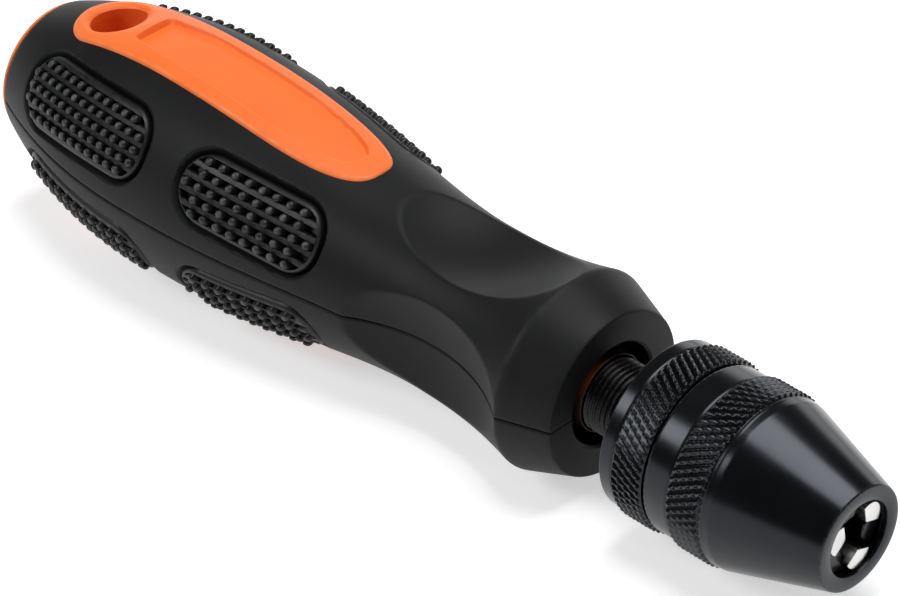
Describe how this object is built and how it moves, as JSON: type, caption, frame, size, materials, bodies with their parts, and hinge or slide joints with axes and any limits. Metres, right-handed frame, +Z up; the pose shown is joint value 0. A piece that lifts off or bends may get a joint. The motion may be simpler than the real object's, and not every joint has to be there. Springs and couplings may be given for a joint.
{
  "type": "pin vise",
  "caption": "Hand-held pin vise: a contoured handle with an inlay, nubbed grip pads and a hang hole, and a keyless screw chuck whose jaws close on a small drill bit when its sleeve is turned.",
  "frame": {"origin": "middle of the flat tail face, on the tool's axis", "axes": "+X along the tool's axis from the tail to the chuck's mouth, +Z up through the inlay, +Y to the left seen from the tail"},
  "size_m": [0.136, 0.0312, 0.0308],
  "materials": {
    "orange_plastic": "satin moulded orange plastic",
    "black_grip": "soft-touch matte black",
    "black_rubber": "soft black rubber with raised nubs",
    "black_anodised": "black anodised, satin, with knurled bands",
    "dark_steel": "black oxide steel",
    "bright_steel": "ground bright steel"
  },
  "bodies": {
    "handle": {"handle_core": "orange_plastic", "upper_grip_shell": "black_grip", "lower_grip_shell": "black_grip", "grip_pad_rear_upper_right": "black_rubber", "grip_pad_rear_upper_left": "black_rubber", "grip_pad_rear_lower_right": "black_rubber", "grip_pad_rear_lower_left": "black_rubber", "grip_pad_front_upper_right": "black_rubber", "grip_pad_front_upper_left": "black_rubber", "grip_pad_front_lower_right": "black_rubber", "grip_pad_front_lower_left": "black_rubber", "spindle": "dark_steel", "chuck_body": "black_anodised", "thrust_ring": "dark_steel"},
    "sleeve": {"chuck_sleeve": "black_anodised", "nut_half_upper": "dark_steel", "nut_half_lower": "dark_steel"},
    "jaw_one": {"jaw_1": "bright_steel"},
    "jaw_two": {"jaw_2": "bright_steel"},
    "jaw_three": {"jaw_3": "bright_steel"}
  },
  "joints": [
    {"name": "sleeve_turn", "type": "hinge", "parent": "handle", "child": "sleeve", "pos_m": [0.124, 0, 0], "axis": [-1, 0, 0], "range_deg": [0, 1440]},
    {"name": "jaw_one_slide", "type": "slide", "parent": "handle", "child": "jaw_one", "axis": [0.9659, -0.1983, -0.1664], "range_m": [0, 0.00657]},
    {"name": "jaw_two_slide", "type": "slide", "parent": "handle", "child": "jaw_two", "axis": [0.9659, -0.0449, 0.2549], "range_m": [0, 0.00657]},
    {"name": "jaw_three_slide", "type": "slide", "parent": "handle", "child": "jaw_three", "axis": [0.9659, 0.2432, -0.0885], "range_m": [0, 0.00657]}
  ],
  "couplings": [
    {"joint": "jaw_one_slide", "follows": "sleeve_turn", "m_per_rad": 0.000261},
    {"joint": "jaw_two_slide", "follows": "sleeve_turn", "m_per_rad": 0.000261},
    {"joint": "jaw_three_slide", "follows": "sleeve_turn", "m_per_rad": 0.000261}
  ]
}
